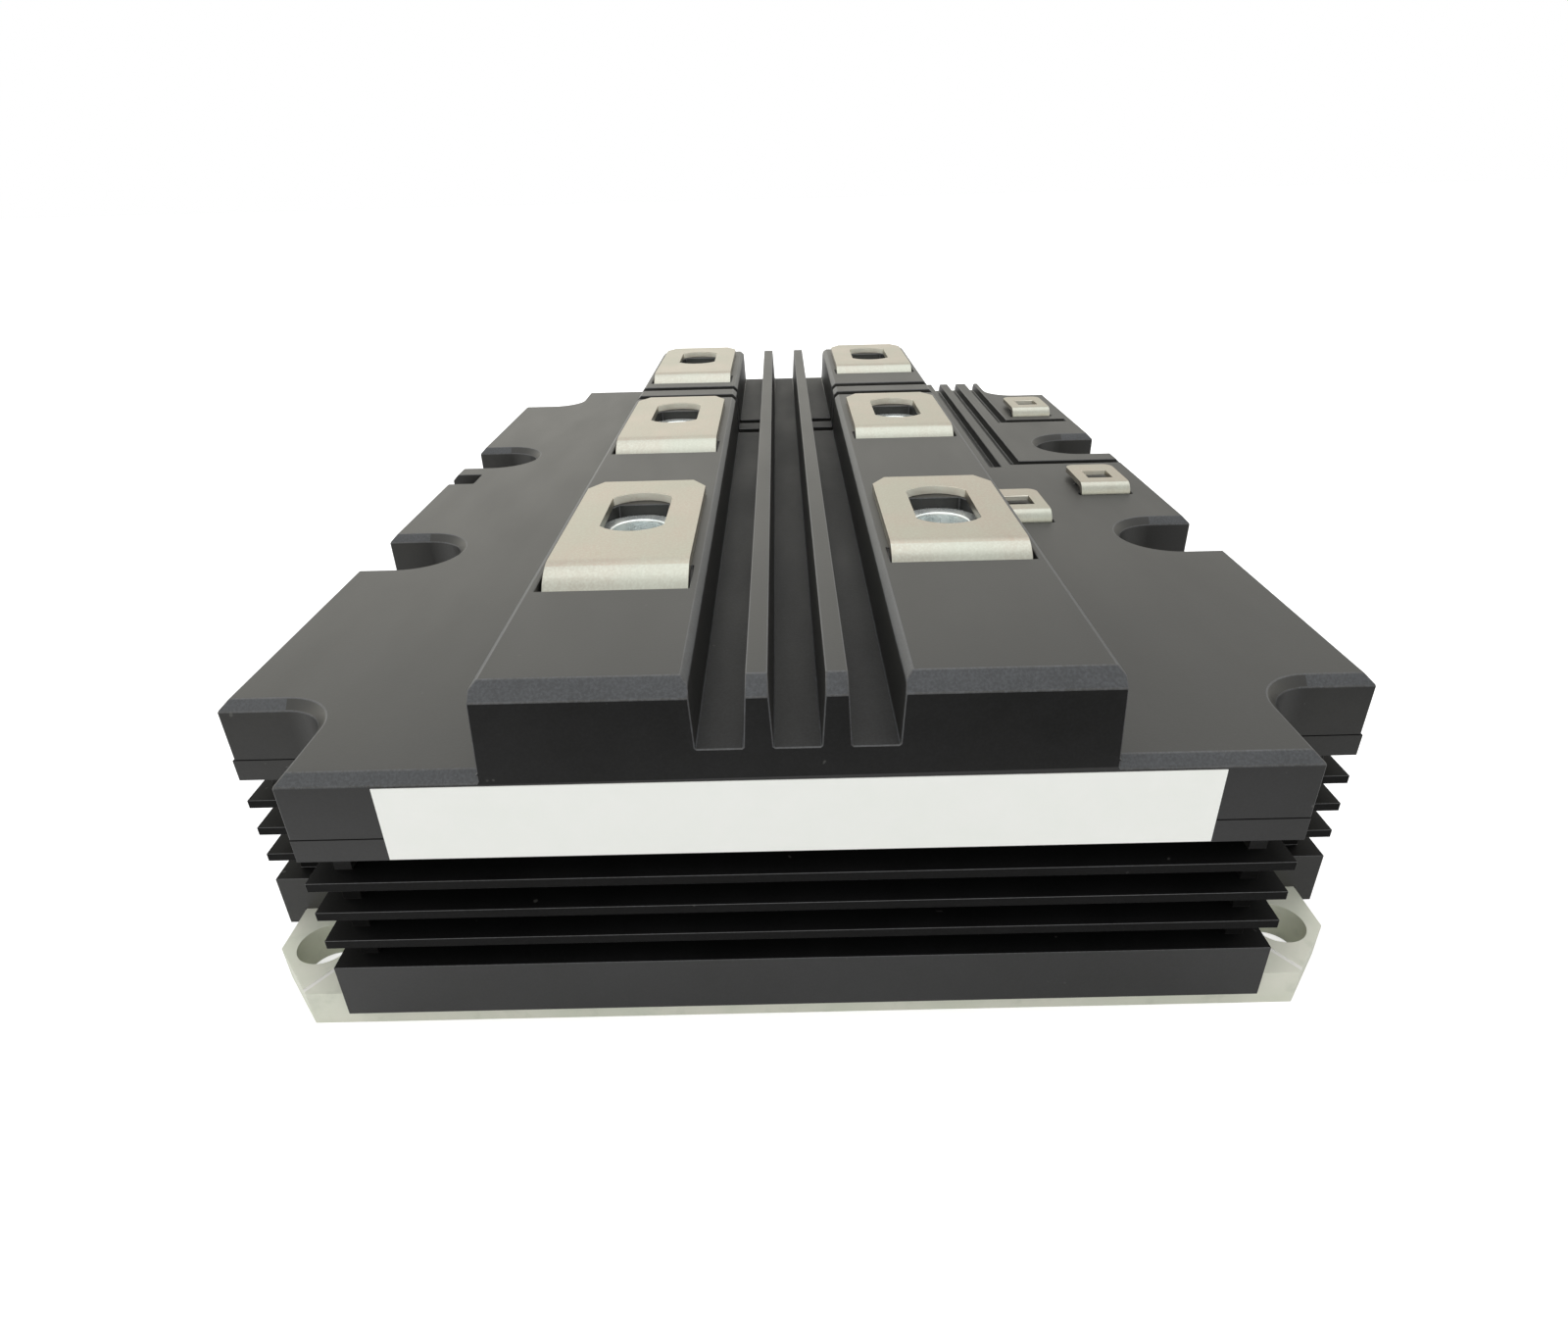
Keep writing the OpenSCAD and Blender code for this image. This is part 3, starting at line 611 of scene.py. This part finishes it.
# base plate
plateSetup = {
    "edge": 0.18,
    "segments": 2,
    "scoreFrom": (58.6, -89.4),  # mm, a scored line across each front corner, with a painted highlight in it
    "scoreTo": (61.8, -94.0),
    "scoreWidth": 0.55,
    "scoreDepth": 0.1,
    "scoreOver": 1.02,         # the cut is this much longer than the line
}


def cutScore(plate, setup, side):
    start = Vector((side * setup["scoreFrom"][0], setup["scoreFrom"][1]))
    end = Vector((side * setup["scoreTo"][0], setup["scoreTo"][1]))
    middle = (start + end) / 2
    along = end - start
    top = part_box("base_plate")[1][2]
    deselectAll()
    bpy.ops.mesh.primitive_cube_add(size=1, location=(middle.x * mm, middle.y * mm, top),
                                    rotation=(0, 0, math.atan2(along.y, along.x)))
    cutter = bpy.context.object
    cutter.scale = (along.length * setup["scoreOver"] * mm, setup["scoreWidth"] * mm,
                    2 * setup["scoreDepth"] * mm)
    bpy.ops.object.transform_apply(location=True, rotation=True, scale=True)
    # the cut faces take the painted highlight
    setFinish(cutter, scoreHighlightNickel)
    makeActive(plate)
    cut = plate.modifiers.new("score", "BOOLEAN")
    cut.operation = "DIFFERENCE"
    cut.solver = "EXACT"
    cut.material_mode = "TRANSFER"
    cut.object = cutter
    bpy.ops.object.modifier_apply(modifier=cut.name)
    bpy.data.objects.remove(cutter)


heatPlate = copyOfNode("base_plate", "heatPlate")
setFinish(heatPlate, nickelPlate)
for side in (-1, 1):
    cutScore(heatPlate, plateSetup, side)
roundEdges(heatPlate, plateSetup)
seat(heatPlate, "base_plate", "base_plate")
print("base plate finished")


# terminals
terminalSetup = {
    "edge": 0.13,
    "segments": 2,
    "frontLean": 0.3,          # faces that lean forward more than this are the bend or the slot's wall
    "bendShare": 0.4,          # the bend is in this front share of the terminal's depth
    "wallDepth": 1.4,          # mm, how far down the cut wall at the slot's far end reaches
}


def addStrap(name, setup):
    words = name.split("_")
    strap = copyOfNode(name, words[0] + "".join(word.capitalize() for word in words[1:]) + "Strap")
    setFinish(strap, tinned, slotWallHighlight, bentTin)
    low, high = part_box(name)
    bendEnd = between(low[1], high[1], setup["bendShare"])
    wallFoot = high[2] - setup["wallDepth"] * mm
    leaning = [face for face in strap.data.polygons if face.normal.y < -setup["frontLean"]]
    for face in leaning:
        if face.center.y <= bendEnd:
            # painted highlight on the bend
            face.material_index = finishIndex(strap, bentTin)
        elif face.center.z > wallFoot:
            # painted highlight on the slot's cut wall
            face.material_index = finishIndex(strap, slotWallHighlight)
    roundEdges(strap, setup)
    seat(strap, "terminal", name)


for name in [name for name in nodes if "terminal" in name]:
    addStrap(name, terminalSetup)
print("terminals finished")


# nuts
nutShared = {
    "edge": 0.12,              # mm
    "segments": 2,
    "coreSlack": 0.1,          # mm, corners this near the bore belong to it
    "rootSlack": 0.05,         # mm, the same for the widened bore
    "levelSlack": 0.01,        # mm, an edge that rises less is level
    "mouthSegments": 2,
    "mouthsFree": 1.6,         # mouths' depth that the thread stops short of the top
    "ridgeShare": 0.44,        # half the ridge's width over the pitch
    "turnSteps": 28,
}
# rise is how far a nut's upper face stands over the CAD node's; sizes in mm
nutSetups = {
    "main_nuts": {**nutShared, "piece": "powerNuts", "core": 3.4, "root": 4.05, "pitch": 1.25,
                  "rise": 1.9, "mouth": 0.35},
    "aux_nuts": {**nutShared, "piece": "controlNuts", "core": 1.65, "root": 2.0, "pitch": 0.7,
                 "rise": 0.0, "mouth": 0.2},
}


def splitNuts(nodeName):                  # each nut, with the x and y of its axis
    copyOfNode(nodeName, "nutCopy")
    bpy.ops.mesh.separate(type="LOOSE")
    nuts = []
    for nut in list(bpy.context.selected_objects):
        across = [vertex.co.x for vertex in nut.data.vertices]
        along = [vertex.co.y for vertex in nut.data.vertices]
        nuts.append((nut, (min(across) + max(across)) / 2, (min(along) + max(along)) / 2))
    return nuts


def shapeNut(nut, x, y, middle, setup):
    def fromAxis(place):
        return math.hypot(place.x - x, place.y - y)

    boreReach = (setup["core"] + setup["coreSlack"]) * mm
    mouthReach = (setup["root"] + setup["rootSlack"]) * mm
    wider = setup["root"] / setup["core"]
    makeActive(nut)
    bpy.ops.object.mode_set(mode="EDIT")
    selectCorners(nut, lambda place: place.z > middle)
    bpy.ops.transform.translate(value=(0, 0, setup["rise"] * mm))
    selectCorners(nut, lambda place: fromAxis(place) < boreReach)
    bpy.ops.transform.resize(value=(wider, wider, 1), center_override=(x, y, middle))
    bpy.ops.mesh.select_all(action="DESELECT")
    mesh = bmesh.from_edit_mesh(nut.data)
    for edge in mesh.edges:               # the mouth of the thread, at both faces
        first, second = (vertex.co for vertex in edge.verts)
        level = abs(first.z - second.z) < setup["levelSlack"] * mm
        edge.select_set(level and max(fromAxis(first), fromAxis(second)) < mouthReach)
    bmesh.update_edit_mesh(nut.data)
    bpy.ops.mesh.bevel(offset=setup["mouth"] * mm, segments=setup["mouthSegments"], affect="EDGES")
    bpy.ops.object.mode_set(mode="OBJECT")
    roundEdges(nut, setup)


def addRidge(setup, low, high):           # helical ridge with its axis at the origin
    deselectAll()
    bpy.ops.mesh.primitive_circle_add(vertices=4, radius=1, fill_type="NOTHING")
    ridge = bpy.context.object
    bpy.ops.object.mode_set(mode="EDIT")
    bpy.ops.mesh.select_all(action="SELECT")
    depth = (setup["root"] - setup["core"]) * mm
    bpy.ops.transform.resize(value=(depth, setup["pitch"] * setup["ridgeShare"] * mm, 1))
    bpy.ops.transform.rotate(value=math.radians(90), orient_axis="X", center_override=(0, 0, 0))
    bpy.ops.transform.translate(value=(setup["root"] * mm, 0, low))
    bpy.ops.object.mode_set(mode="OBJECT")
    coil = ridge.modifiers.new("coil", "SCREW")
    coil.screw_offset = setup["pitch"] * mm
    coil.iterations = max(1, int((high - low) / (setup["pitch"] * mm)))
    coil.steps = setup["turnSteps"]
    coil.render_steps = setup["turnSteps"]
    bpy.ops.object.modifier_apply(modifier=coil.name)
    bpy.ops.object.mode_set(mode="EDIT")
    bpy.ops.mesh.select_all(action="SELECT")
    bpy.ops.mesh.fill_holes(sides=4)
    bpy.ops.mesh.normals_make_consistent(inside=False)
    bpy.ops.object.mode_set(mode="OBJECT")
    return ridge


def threadAt(ridge, x, y):
    makeActive(ridge)
    bpy.ops.object.duplicate()
    thread = bpy.context.object
    bpy.ops.object.mode_set(mode="EDIT")
    bpy.ops.mesh.select_all(action="SELECT")
    bpy.ops.transform.translate(value=(x, y, 0))
    bpy.ops.object.mode_set(mode="OBJECT")
    return thread


def addNuts(nodeName, setup):
    nuts = splitNuts(nodeName)
    low, high = (corner[2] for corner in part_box(nodeName))
    for nut, x, y in nuts:
        shapeNut(nut, x, y, (low + high) / 2, setup)
    top = high + setup["rise"] * mm
    ridge = addRidge(setup, low + setup["mouth"] * mm, top - setup["mouthsFree"] * setup["mouth"] * mm)
    threads = [threadAt(ridge, x, y) for nut, x, y in nuts]
    bpy.data.objects.remove(ridge)
    makeActive(nuts[0][0])
    for piece in [nut for nut, x, y in nuts] + threads:
        piece.select_set(True)
    bpy.ops.object.join()
    nutSet = bpy.context.object
    nutSet.name = setup["piece"]
    smooth(nutSet)
    setFinish(nutSet, zincPlated)
    seat(nutSet, "nut", nodeName)


for name, setup in nutSetups.items():
    addNuts(name, setup)
print("nuts finished")


# label and inner pieces; the keys below are words in the names of nodes
innerSetups = {
    "igbt_chips": {"name": "siliconChip", "dark": (0.20, 0.22, 0.25, 1), "pale": (0.33, 0.35, 0.38, 1),
                   "cloud": (2.0, 3, 0.6), "rough": 0.2, "metallic": 0.7, "depth": 0.002},
    "diode_chips": {"name": "diodeChip", "dark": (0.34, 0.32, 0.27, 1), "pale": (0.46, 0.43, 0.36, 1),
                    "cloud": (2.0, 3, 0.6), "rough": 0.2, "metallic": 0.7, "depth": 0.002},
    "gate_board": {"name": "boardGreen", "dark": (0.02, 0.10, 0.04, 1), "pale": (0.03, 0.15, 0.06, 1),
                   "cloud": (1.0, 3, 0.6), "rough": 0.35, "metallic": 0.0, "depth": 0.01},
    "adhesive": {"name": "sealant", "dark": grey(0.03), "pale": grey(0.05),
                 "cloud": (3.0, 3, 0.6), "rough": 0.45, "metallic": 0.0, "depth": 0.01},
}
cloudRough = 0.15              # how much rougher the cloud makes them
ceramicSetup = {
    "core": (5.3, 6.3),        # mm, heights of the ceramic's lower and upper face
    "white": (0.78, 0.78, 0.74, 1),
    "dark": (0.62, 0.30, 0.17, 1),
    "pale": (0.78, 0.42, 0.25, 1),
    "cloud": (1.2, 3, 0.6),
    "rough": (0.35, 0.55),
    "depth": 0.005,
}
gelSetup = {
    "dark": (0.74, 0.80, 0.84, 1),
    "pale": (0.84, 0.88, 0.90, 1),
    "cloud": (12, 2, 0.5),
    "rough": (0.12, 0.22),
    "clear": 0.8,
    "index": 1.41,
    "depth": 0.05,
}


def innerStuff(setup):
    finish = Finish(setup["name"])
    cloud = finish.noise(*setup["cloud"])
    colour = finish.mix(finish.ramp(cloud), setup["dark"], setup["pale"])
    return finish.surface({"Base Color": colour, "Roughness": setup["rough"] + cloudRough * cloud,
                           "Metallic": setup["metallic"], "Normal": finish.bump(cloud, setup["depth"])})


def ceramic(name, setup):                 # copper faces on a white ceramic core
    finish = Finish(name)
    height = finish.node("SeparateXYZ", {}, {0: finish.coordinates()}, out="Z")
    low, high = setup["core"]
    core = (height > low * mm) * (height < high * mm)
    cloud = finish.noise(*setup["cloud"])
    copper = finish.mix(cloud, setup["dark"], setup["pale"])
    colour = finish.mix(core, copper, setup["white"])
    return finish.surface({"Base Color": colour, "Metallic": 1 - core,
                           "Roughness": between(*setup["rough"], cloud),
                           "Normal": finish.bump(cloud, setup["depth"])})


def siliconeGel(name, setup):
    finish = Finish(name)
    cloud = finish.noise(*setup["cloud"])
    colour = finish.mix(cloud, setup["dark"], setup["pale"])
    return finish.surface({"Base Color": colour, "Roughness": between(*setup["rough"], cloud),
                           "Transmission Weight": setup["clear"], "IOR": setup["index"],
                           "Normal": finish.bump(cloud, setup["depth"])})


def finishNodes(word, material):          # every node with that word in its name
    for name in nodes:
        if word in name:
            nodes[name].data.materials.clear()
            nodes[name].data.materials.append(material)


finishNodes("label", labelPaper)
finishNodes("gate_pins", tinned)
finishNodes("substrate", ceramic("copperOnCeramic", ceramicSetup))
finishNodes("silicone_gel", siliconeGel("siliconeGel", gelSetup))
for word, setup in innerSetups.items():
    finishNodes(word, innerStuff(setup))
print("inner pieces finished")


# floor, world and lamp
floorSetup = {
    "size": 6.0,               # m
    "bright": 0.85,
    "dark": 0.08,              # beyond the painted pool of light, seen only in mirrored light
    "edge": (-158, -144),      # mm, where the painted pool of light in front of the module ends
    "sideSpan": (-60, 60),     # mm, from left to right
    "rightShare": 0.70,        # painted shade: how bright the right-hand side is, seen only in mirrored light
    "lift": 0.55,              # glow that only the camera sees
}
worldSetup = {
    "ambient": (1.0, 1.0, 0.99, 1),
    "mirrorHigh": (1.00, 1.00, 0.96, 1),
    "mirrorLow": (1.62, 1.58, 1.41, 1),
    "climbSpan": (0.15, 0.6),  # how steep a ray is between the low and the high colour
    "sideSpan": (-0.35, 0.35),
    "rightDrop": (0.40, 0.18),   # darker toward the right: near the horizon, overhead
}
lampSetup = {
    "place": (0.1, 0.25, 0.9),   # m
    "aim": (0, 0, 0),
    "size": (0.9, 0.9),
    "power": 2.0,
    "gloss": 0.2,              # its share in mirrored light
}


def addFloor(setup):
    deselectAll()
    bpy.ops.mesh.primitive_plane_add(size=setup["size"], location=(0, 0, 0))
    floor = bpy.context.object
    floor.name = "floor"
    finish = Finish("paleFloor")
    seen = finish.node("LightPath", out="Is Camera Ray")
    across = finish.node("SeparateXYZ", {}, {0: finish.coordinates()}, out="X")
    # painted pool of light in front, and painted shade toward the right, seen only in mirrored light
    paintedPool = finish.ramp(across.output("Y"), *(edge * mm for edge in setup["edge"]))
    paintedRightShade = finish.ramp(across, *(edge * mm for edge in setup["sideSpan"]))
    level = (1 - (1 - setup["rightShare"]) * paintedRightShade) * between(setup["dark"], setup["bright"], paintedPool)
    colour = finish.node("CombineXYZ", {}, {0: level, 1: level, 2: level})
    colour = finish.mix(seen.output("Is Glossy Ray"), grey(setup["bright"]), colour)
    diffuse = finish.node("BsdfDiffuse", {}, {"Color": colour})
    glow = finish.node("Emission", {}, {"Color": grey(1.0), "Strength": seen * setup["lift"]})
    both = finish.node("AddShader", {}, {0: diffuse, 1: glow})
    finish.node("OutputMaterial", {}, {"Surface": both})
    floor.data.materials.append(finish.material)


def addWorld(setup):
    world = bpy.data.worlds.new("studio")
    scene.world = world
    world.use_nodes = True
    finish = Finish("studio", world.node_tree)
    seen = finish.node("LightPath", out="Is Camera Ray")
    across = finish.node("SeparateXYZ", {}, {0: finish.node("TexCoord", out="Generated")}, out="X")
    climb = finish.ramp(across.output("Z"), *setup["climbSpan"])
    mirror = finish.mix(climb, setup["mirrorLow"], setup["mirrorHigh"])
    side = 1 - between(*setup["rightDrop"], climb) * finish.ramp(across, *setup["sideSpan"])
    colour = finish.mix(seen.output("Is Glossy Ray"), setup["ambient"], mirror)
    colour = finish.node("VectorMath", {"operation": "SCALE"}, {0: colour, "Scale": side})
    colour = finish.mix(seen, colour, grey(1.0))
    background = finish.node("Background", {}, {"Color": colour, "Strength": 1.0})
    finish.node("OutputWorld", {}, {"Surface": background})


def addLamp(name, setup):
    lamp = bpy.data.objects.new(name, bpy.data.lights.new(name, "AREA"))
    scene.collection.objects.link(lamp)
    lamp.data.shape = "RECTANGLE"
    lamp.data.size, lamp.data.size_y = setup["size"]
    lamp.data.energy = setup["power"]
    lamp.data.specular_factor = setup["gloss"]
    lamp.location = setup["place"]
    direction = Vector(setup["aim"]) - Vector(setup["place"])
    lamp.rotation_euler = direction.to_track_quat("-Z", "Y").to_euler()


addFloor(floorSetup)
addWorld(worldSetup)
addLamp("overhead", lampSetup)
print("stage set")
